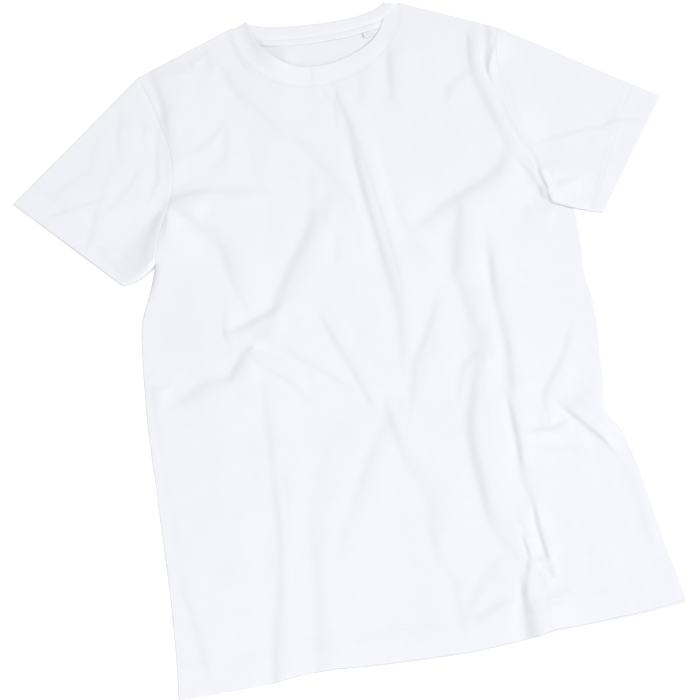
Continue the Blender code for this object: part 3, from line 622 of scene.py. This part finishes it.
def left_of(line, closed=False):
    """A step of 1 to the left at each point of a line."""
    run = np.roll(line, -1, axis=0) - np.roll(line, 1, axis=0) if closed else np.gradient(line, axis=0)
    return np.column_stack([-run[:, 1], run[:, 0]]) / np.hypot(*run.T)[:, None]


def sheet_of(net, below, top_of, bottom_of):
    """Closed sheet between an upper and a lower net that share an outline, with a rounded rim."""
    points, insets, faces, first = net.faces()
    low_points, low_insets, low_faces, low_first = below.faces()
    count = len(net.outline)

    def rounding(inset):
        return ROUND_OFF - np.sqrt(np.maximum(ROUND_OFF ** 2 - np.maximum(ROUND_OFF - inset, 0) ** 2, 0))

    def free(at):
        """1 along a free edge, less where the edge is sewn to another piece."""
        return np.clip(np.min([distance(line, at) for line, _ in SEAMS], axis=0) / 1.5, .15, 1)

    top = top_of(points)
    low = bottom_of(low_points)
    heights = top - rounding(insets) * free(points)
    low_heights = low + rounding(low_insets)
    rim_top = {int(k): i for i, k in enumerate(first) if k < count}
    joined, place = [], {}
    for i, k in enumerate(low_first):
        if k < count:
            at = place[i] = rim_top[int(k)]
            heights[at] = top[at] - (top[at] - low[i]) / 2 * free(points[at:at + 1])[0]
        else:
            place[i] = len(points) + len(joined)
            joined.append((*low_points[i], low_heights[i]))
    verts = np.vstack([np.column_stack([points, heights]), np.array(joined)])
    turned = [[place[k] for k in reversed(face)] for face in low_faces]
    return verts, faces + turned


def panel_outline(neck_fall, lift, gap):
    """Closed outline of a body panel, anticlockwise from the left end of the hem."""
    across = np.linspace(HEM[0, 0], HEM[-1, 0], 200)
    hem = np.column_stack([across, hem_height(across) + lift(across)])
    left, right = [np.vstack([side_line(side, start)[:-1], armhole_line(side),
                              [(side * NECK_SEAM[0], NECK_SEAM[1])]])
                   for side, start in ((-1, hem[0, 1]), (1, hem[-1, 1]))]
    neck = half_ring(*NECK_SEAM, *neck_fall, TURNS)[::-1]
    return np.vstack([spaced(line, gap)[:-1] for line in (hem, right, neck, left[::-1])])


def front_lift(x):
    """How far the front's hem lies above the back's."""
    return np.interp(x, (-255, -200, -150, -60, 20, 90, 130, 200, 250),
                     (.2, .4, .3, .9, 1.4, .6, .8, 2.2, 3.0))


def with_rim(net, rows):
    """Lays the outline, then rows of points: how far inside it, and how much each keeps free."""
    net.add(net.outline, 0, 0, rim=True)
    inwards = left_of(net.outline, closed=True)
    for inset, clear in rows:
        net.add(net.outline + inwards * inset, clear, inset)


def along_hem(inset):
    """A line along the front's hem, at a distance from its edge."""
    across = np.arange(-253, 252, 2.0)
    return np.column_stack([across, hem_height(across) + front_lift(across) + inset])


front_edge = panel_outline(FRONT_NECK, front_lift, 2.2)
front_net = Net(front_edge)
with_rim(front_net, ((.07, 0), (.25, 0), (.6, .4), (1.3, .7), (2.4, 1.2)))
for inset in (23.4, 24.5, 25.6, 29.4, 30.5, 31.5, 33.0):
    front_net.add(along_hem(inset), .4)
# rows of points along and beside each sharp crease
for line, _, _, narrow, wide, _, _ in CREASED[len(FORMS):]:
    half = (narrow + wide) / 2
    if half > 5:
        continue            # the even net is fine enough for it
    way = spaced(line, 1.5)
    for share in (0, -.4, .4, -.8, .8, -1.25, 1.25, -1.8, 1.8, -2.5, 2.5):
        front_net.add(way + left_of(way) * half * share, .18 * half)
front_net.grid(2.45)
front_low = Net(front_edge)
with_rim(front_low, ((.07, 0), (.25, 0), (.6, 2), (3, 3)))
front_low.grid(6)


def front_top(points):
    """Height of the front's upper face, with its hem."""
    inset = points[:, 1] - hem_height(points[:, 0]) - front_lift(points[:, 0])
    return lie(points) + band_form(inset)


verts, faces = sheet_of(front_net, front_low, front_top, lambda points: front_top(points) - WALL)
front = piece("front_cloth", verts, faces, jersey, "front_panel")

# ---------------------------------------------------------------- back panel
# One ply of the same jersey under the front, with the shallow back neck. It lies flat on the table
# and shows inside the neck and as a sliver along the hem.
back_edge = panel_outline(BACK_NECK, lambda x: 0 * x, 2.6)
back_net, back_low = Net(back_edge), Net(back_edge)
with_rim(back_net, ((.07, 0), (.25, 0), (.6, 1), (2, 2)))
back_net.grid(5)
with_rim(back_low, ((.07, 0), (.25, 0), (.6, 2), (4, 4)))
back_low.grid(12)


def back_top(points):
    """Nearly flat, with one small rumple inside the left end of the neck."""
    x, y = points.T
    rumple = 2 * np.exp(-((x + 42) ** 2 + (y - 674) ** 2) / 11 ** 2)
    return 1.08 + .1 * np.clip(relief(points), -1, 1) + rumple


verts, faces = sheet_of(back_net, back_low, back_top, lambda points: np.zeros(len(points)))
back = piece("back_cloth", verts, faces, jersey, "back_panel")

# ---------------------------------------------------------------- sleeves
# Short set-in sleeves, each a tube of jersey pressed flat: folded along the top, sewn underneath,
# with the wales running down the arm and a hem of two rows at the cuff.
SLEEVE_REACH = 150.0                # from the armhole to the cuff
OVER, UNDER, BEND = 128, 30, 5      # points across the upper ply, the lower one and each edge
EDGE_RADIUS = 1.05                  # of the pressed edges
LIP_WIDTH, SUNK_WIDTH = 12, 4       # of the raised underarm edge and of the sunk stretch at the armhole
CUFF_ROUND = .45                    # how far the cuff's rounded end stands out
STATIONS = np.concatenate([
    # from the armhole (0) to the cuff (1), closest at the seam and along the sewn rows
    [-.0024, -.0008], np.linspace(.0004, .06, 9)[:-1], np.linspace(.06, .77, 78)[:-1],
    np.linspace(.77, .85, 14)[:-1], np.linspace(.85, 1, 14)])


def sleeve_point(side, along, across):
    """Points of the pressed sleeve: from armhole (0) to cuff (1), and from underarm (0) to top fold (1)."""
    tip, corner = np.array(SLEEVES[side][0]), np.array(SLEEVES[side][1])
    low, high = sleeve_edges(side)
    hole = armhole_line(side)
    v, u = np.asarray(across)[:, None], np.asarray(along)[:, None]
    near, far = at_shares(hole, v[:, 0]), corner + (tip - corner) * v
    bottom, top = at_shares(low, u[:, 0]), at_shares(high, u[:, 0])
    corners = (1 - u) * (1 - v) * hole[0] + (1 - u) * v * hole[-1] + u * (1 - v) * corner + u * v * tip
    behind = np.minimum(u, 0) * (tip - hole[-1])
    return (1 - u) * near + u * far + (1 - v) * bottom + v * top - corners + behind


def ring_faces(rings, count, closed=True):
    """Quads round each ring of points and from ring to ring."""
    faces = []
    for a in range(rings if closed else rings - 1):
        b = (a + 1) % rings
        for k in range(count):
            n = (k + 1) % count
            faces.append((a * count + k, a * count + n, b * count + n, b * count + k))
    return faces


def sleeve(side, set_back, lip, sunk):
    """A sleeve whose upper ply is set back at the cuff, whose underarm edge stands up as a lip towards
    the armhole, and which may be sunk along the armhole."""
    turn = np.radians(np.linspace(-90, 90, BEND + 2)[1:-1])
    bend, climb = 1 - np.cos(turn), (np.sin(turn) + 1) / 2
    lifted = np.concatenate([np.zeros(UNDER), climb, np.ones(OVER), climb[::-1]])
    outer, inner, marks = [], [], []
    for station in STATIONS:
        width = np.hypot(*(sleeve_point(side, [station], [1]) - sleeve_point(side, [station], [0]))[0])
        radius = EDGE_RADIUS / width
        over, under = [np.linspace(radius, 1 - radius, steps) for steps in (OVER, UNDER)]
        ring = np.concatenate([under, 1 - radius * bend, over[::-1], (radius * bend)[::-1]])
        along = station - set_back(ring) * max(station, 0) ** 6 * lifted / SLEEVE_REACH
        flat = sleeve_point(side, along, ring)
        hem = band_form((1 - station) * SLEEVE_REACH)
        height = lie(flat) + hem * ease(np.minimum(ring, 1 - ring) * width / 3)
        lip_here = lip * np.interp(station, (0, .06, .2, .8), (0, 1, 1, 0))
        height += lip_here * np.exp(-(ring * width / LIP_WIDTH) ** 2)
        height -= max(0, .0008 - station) * SLEEVE_REACH
        height -= sunk * math.exp(-(station * SLEEVE_REACH / SUNK_WIDTH) ** 2)
        outer.append(np.column_stack([flat, height * lifted]))
        shy = np.clip(ring, radius * 1.9, 1 - radius * 1.9)     # the inner face ends before the edges
        inner.append(np.column_stack([sleeve_point(side, along, shy), WALL + (height - 2 * WALL) * lifted]))
        marks.append(np.column_stack([ring * width, np.full(len(ring), station * SLEEVE_REACH)]) / 1000)
    middle = (outer[-1] + inner[-1]) / 2
    way = (outer[-1] - outer[-2])[:, :2]
    middle[:, :2] += way / np.hypot(*way.T)[:, None] * CUFF_ROUND
    rings = outer + [middle] + inner[::-1]
    faces = ring_faces(len(rings), len(lifted))
    if side < 0:
        faces = [face[::-1] for face in faces]
    name, node = ("left_sleeve", "sleeve_left") if side < 0 else ("right_sleeve", "sleeve_right")
    marks = np.vstack(marks + [marks[-1]] + marks[::-1])
    made = piece(name, np.vstack(rings), faces, jersey, node, marks)


sleeve(-1, lambda v: .35 * ease((v - .02) / .1) * ease((.65 - v) / .25), 2, .25)
sleeve(1, lambda v: 0 * v, 3.5, 0)

# ---------------------------------------------------------------- neckband
# A ring of fine rib folded double and stretched on to the neck seam. Its ribs run across it. The
# front half lies on the front panel's height, the back half on the table, turned over at each end.
BAND_EDGE = (78, 725)       # half width and top of the free edge
FRONT_EDGE = (71, 9)        # drop and lean of its front half
BACK_EDGE = (16.5, -11)     # and of its back half
END_DROP = 2.9              # how far below its peaks the band starts to turn over
RIB_WALL = 1.4              # thickness of the folded band
RIB_PITCH = 1.35            # from rib to rib
RIB_RISE = .05              # height of a rib
SHARES = np.linspace(0, 1, 12)      # from the seam to the free edge


def band_half(seam_fall, edge_fall):
    """Points along the seam and the free edge of half the band, four to a rib, from left to right."""
    lines = []
    for ring, fall in ((NECK_SEAM, seam_fall), (BAND_EDGE, edge_fall)):
        first = math.asin(END_DROP / fall[0])
        turns = np.clip(np.linspace(0, math.pi, 400), first, math.pi - first)
        lines.append(half_ring(*ring, *fall, turns))
    middle = (lines[0] + lines[1]) / 2
    keep = np.concatenate([[True], np.hypot(*np.diff(middle, axis=0).T) > 1e-6])
    shares = np.linspace(0, 1, int(walked(middle)[-1] / (RIB_PITCH / 4)))
    return [at_shares(line[keep], shares) for line in lines]


def laid(seam, edge, height_of, up):
    """Sections of half the band: seam, free edge, heights from one to the other, and the way up."""
    return [(a, b, height_of(a + (b - a) * SHARES[:, None]), np.array([0, 0, up]))
            for a, b in zip(seam, edge)]


def turning(front_end, back_end, side):
    """Sections that turn the band over between an end of its front half and one of its back half."""
    crease = front_end[1] - front_end[0]
    out = side * np.array([crease[1], -crease[0], 0]) / np.hypot(*crease)
    middle = [(front_end[k] + back_end[k]) / 2 for k in range(3)]
    half = [(front_end[k] - back_end[k]) / 2 for k in range(3)]
    made = []
    for angle in math.pi * np.arange(1, 12) / 12:
        reach = half[2].mean() * math.sin(angle)
        a, b, heights = [there + across * math.cos(angle) for there, across in zip(middle, half)]
        made.append((a + np.array([-side * .5, 1]) * reach, b + out[:2] * reach, heights,
                     out * math.sin(angle) + np.array([0, 0, math.cos(angle)])))
    return made


def stand(x):
    """How far the free edge of the front stands up: most near its left end."""
    return 4.2 * np.exp(-((x + 60) / 20) ** 2) + 1.2 * ease((30 - x) / 60) - .4


def band_section(a, b, heights, up, rib):
    """Ring of points round the folded band: over its outer face, round its free edge and back."""
    way = np.append(b - a, heights[-1] - heights[0])
    length = np.linalg.norm(way)
    radius = RIB_WALL / 2
    face = np.column_stack([a + (b - a) * (SHARES * (1 - radius / length))[:, None], heights])
    swell = radius + rib * np.minimum(1, 3 * SHARES) * np.minimum(1, 5 * (1.05 - SHARES))
    nose = [face[-1] + up * (radius + rib) * math.sin(t) + way / length * radius * math.cos(t)
            for t in np.radians(np.linspace(90, -90, 7))[1:-1]]
    return np.vstack([face + up * swell[:, None], nose, (face - up * radius)[::-3]])


seam, edge = band_half(FRONT_NECK, FRONT_EDGE)
x = edge[:, 0]
# the free edge is pushed to the right at two places, and down at the second
edge += np.column_stack([2.2 * np.exp(-((x + 60) / 20) ** 2) + 2.4 * np.exp(-((x - 58) / 18) ** 2),
                         -2 * np.exp(-((x - 55) / 20) ** 2)])
front_half = laid(seam, edge, lambda at: lie(at) - RIB_WALL / 2 + stand(at[:, 0]) * SHARES ** 1.5, 1.0)
back_half = laid(*band_half(BACK_NECK, BACK_EDGE),
                 lambda at: RIB_WALL / 2 + .05 + 1.1 * (1 - SHARES), -1.0)
sections = front_half + turning(front_half[-1], back_half[-1], 1)
sections += back_half[::-1] + turning(front_half[0], back_half[0], -1)[::-1]
ways = walked(np.array([(a + b) / 2 for a, b, _, _ in sections]))
rings = [band_section(*section, RIB_RISE * math.cos(math.tau * way / RIB_PITCH))
         for section, way in zip(sections, ways)]
count = len(rings[0])
marks = [np.column_stack([np.full(count, way), np.linspace(0, 40, count)]) / 1000 for way in ways]
# Painted light: the rib's colour is a touch lighter than the jersey's, standing in for the light that the
# front of the folded band catches.
rib = cloth_material("white rib", (.88, .885, .932), column=.00068, row=.0006, depth=.0001, rough=.88)
band = piece("rib_band", np.vstack(rings), ring_faces(len(rings), count), rib, "neckband",
             np.vstack(marks))

# ---------------------------------------------------------------- neck tape and tab
# A soft cotton tape covers the back neck seam inside. It is sewn down along both edges, and its upper
# row is hidden by the band. A small plain woven tab is caught below it on the right.
TAPE_REACH = 76             # half the tape's length across
TAPE_TOP = 2.5
TAPE_DIVE = (62, 9, 1.3)    # where its ends start to go down under the band, over how far, how deep
TAB_PLACE, TAB_LEAN, TAB_LENGTH = (54, 684.5), math.radians(11), 10
STRIP_FORM = (
    # across, height: the section of both
    (-1, 0), (-.97, .3), (-.85, .75), (-.6, 1), (0, 1.05), (.6, 1), (.85, .75), (.97, .3), (1, 0))


def strip(name, middle, half_width, low, high, node, curl, sinks=0):
    """A flat band of even width along a line, with soft edges, the right-hand one curled up."""
    points, marks = [], []
    for place, left, way, sink in zip(middle, left_of(middle), walked(middle), sinks + 0 * middle[:, 0]):
        for across, up in STRIP_FORM:
            level = low + (high - low) * up + curl * (1 - across) ** 2 - sink
            points.append((*(place + left * half_width * across), level))
            marks.append((across * half_width / 1000, way / 1000))
    count = len(STRIP_FORM)
    faces = [(a, d, c, b) for a, b, c, d in ring_faces(len(middle), count, closed=False)]
    faces.append(tuple(range(count)))
    faces.append(tuple(range(len(points) - count, len(points)))[::-1])
    return piece(name, points, faces, tape_cloth, node, marks)


tape_cloth = cloth_material("cotton tape", (.885, .89, .92), column=.0006, row=.0009, slant=3,
                            depth=.0001, rough=.8)
first = math.acos(TAPE_REACH / NECK_SEAM[0])
tape_turns = np.linspace(first, math.pi - first, 80)
tape_line = spaced(half_ring(*NECK_SEAM, *BACK_NECK, tape_turns) - (0, 1), .9)
tape_line[:, 1] -= .03 * np.abs(tape_line[:, 0])
start, over, deep = TAPE_DIVE
dives = deep * ease((np.abs(tape_line[:, 0]) - start) / over)
tape = strip("seam_tape", tape_line, 4, 1.5, TAPE_TOP, "neck_tape", .07, dives)

tab_way = np.array([math.cos(TAB_LEAN), math.sin(TAB_LEAN)])
tab_line = TAB_PLACE + tab_way * np.linspace(-TAB_LENGTH / 2, TAB_LENGTH / 2, 9)[:, None]
strip("woven_tab", tab_line, 3.5, 1.2, 1.9, "neck_tab", .5)

# ---------------------------------------------------------------- sewing thread
# Polyester thread: two rows along the hem and along each cuff, one beside the front neck seam and one
# along the lower edge of the tape. Every stitch is a short raised bar.
STITCH_PITCH, STITCH_LENGTH, STITCH_START = 3.0, 2.3, .4
THREAD = .32                # width of a stitch
BAR_FORM = (
    # along, width, height: one stitch, pulled down into the cloth at both ends
    (-.5, .35, -.5), (-.38, .8, .35), (-.12, 1, .95), (.12, 1, .95), (.38, .8, .35), (.5, .35, -.5))
BAR = np.array([(along, width * .5 * math.cos(angle), height * .5 + .5 * math.sin(angle))
                for along, width, height in BAR_FORM
                for angle in math.pi * np.arange(6) / 3])
BAR_FACES = ring_faces(6, 6, closed=False) + [tuple(range(6))[::-1], tuple(range(30, 36))]
thread_points, thread_faces = [], []


def sew(line, height_of, thick=THREAD):
    """A row of stitches along a line."""
    way = walked(line)[-1]
    for k in range(int(way // STITCH_PITCH)):
        start = k * STITCH_PITCH + STITCH_START
        ends = at_shares(line, [start / way, (start + STITCH_LENGTH) / way])
        run = ends[1] - ends[0]
        size = np.hypot(*run)
        if size < .5:
            continue
        run /= size
        heights = height_of(ends)
        place = ends.mean(0) + BAR[:, :1] * run * size + BAR[:, 1:2] * thick * np.array([-run[1], run[0]])
        level = heights.mean() + (heights[1] - heights[0]) * BAR[:, 0] + BAR[:, 2] * thick
        first = len(BAR) * len(thread_points)
        thread_points.append(np.column_stack([place, level]))
        thread_faces.extend([tuple(first + n for n in face) for face in BAR_FACES])


for row in HEM_ROWS:
    sew(along_hem(row), front_top)
for side in SLEEVES:
    for row in HEM_ROWS:
        cuff = sleeve_point(side, np.full(90, 1 - row / SLEEVE_REACH), np.linspace(.012, .988, 90))
        sew(cuff, lambda points: lie(points) + band_form(HEM_ROWS[0]))
neck_line = spaced(half_ring(*NECK_SEAM, *FRONT_NECK, TURNS[3:-3]), 1.5)
sew(neck_line - left_of(neck_line) * 2.6, lie)
tape_row = (tape_line - left_of(tape_line) * 3)[14:-14]     # it stops where the tape dives
sew(tape_row, lambda points: np.full(len(points), TAPE_TOP + .2), .26)


def plain_material(name, colour, rough, others=()):
    """A finish that is the same all over."""
    material = bpy.data.materials.new(name)
    material.use_nodes = True
    shader = material.node_tree.nodes["Principled BSDF"]
    for label, value in (("Base Color", (*colour, 1)), ("Roughness", rough), *others):
        shader.inputs[label].default_value = value
    return material


polyester = plain_material("polyester thread", (.84, .845, .89), .55)
piece("sewing_thread", np.vstack(thread_points), thread_faces, polyester, None)

# ---------------------------------------------------------------- table, light and camera
# A plain white table under an even white sky, with a grey card below it that keeps its bounce low.
# The main lamp is wide and stands on the right, and a small one lights the hem's left corner. The
# camera looks down at 72 degrees from a little to the left of the hem.
def board(name, height, material):
    bpy.ops.mesh.primitive_plane_add(size=12, location=(0, 0, height))
    made = bpy.context.object
    made.name = name
    made.data.materials.append(material)
    return made


table = board("table", -.0002, plain_material("white table", (.8, .8, .8), 1, (
    ("Specular IOR Level", 0), ("Emission Color", (1, 1, 1, 1)), ("Emission Strength", .55))))
table.visible_diffuse = False
card = board("grey_card", -.001, plain_material("grey card", (.5, .5, .5), 1))
card.visible_camera = False

world = bpy.data.worlds.new("sky")
bpy.context.scene.world = world
world.use_nodes = True
sky = world.node_tree.nodes["Background"]
sky.inputs["Color"].default_value = (1, 1, 1, 1)
sky.inputs["Strength"].default_value = .735


def soft_lamp(name, way, aim, far, size, power, spread=180):
    """A round lamp: the way to it, what it is aimed at, how far from it, width, watts and spread."""
    panel = bpy.data.lights.new(name, "AREA")
    panel.shape = "DISK"
    panel.size = size
    panel.spread = math.radians(spread)
    panel.energy = power
    lamp = bpy.data.objects.new(name, panel)
    way = Vector(way).normalized()
    lamp.location = Vector(aim) + way * far
    lamp.rotation_mode = "QUATERNION"
    lamp.rotation_quaternion = way.to_track_quat("Z", "Y")
    bpy.context.scene.collection.objects.link(lamp)


soft_lamp("key", (.82, -.38, .87), (.22, -.07, 0), 6.5, 2.6, 10.3, 34)
soft_lamp("fill", (-.7, -1, .85), (-.33, -.33, 0), .9, .6, 1.15)

CAMERA_PLACE = (-.1128, -.5061, 1.4649)
CAMERA_RIGHT = Vector((.9848, -.1737, 0))
CAMERA_BACK = Vector((-.0537, -.3043, .9511))       # from the shirt to the camera
lens = bpy.data.cameras.new("camera")
lens.lens = 75.86
lens.sensor_width = 36
camera = bpy.data.objects.new("camera", lens)
turn = Matrix((CAMERA_RIGHT, CAMERA_BACK.cross(CAMERA_RIGHT), CAMERA_BACK)).transposed().to_4x4()
camera.matrix_world = Matrix.Translation(CAMERA_PLACE) @ turn
bpy.context.scene.collection.objects.link(camera)
bpy.context.scene.camera = camera
bpy.context.scene.view_settings.view_transform = "Standard"
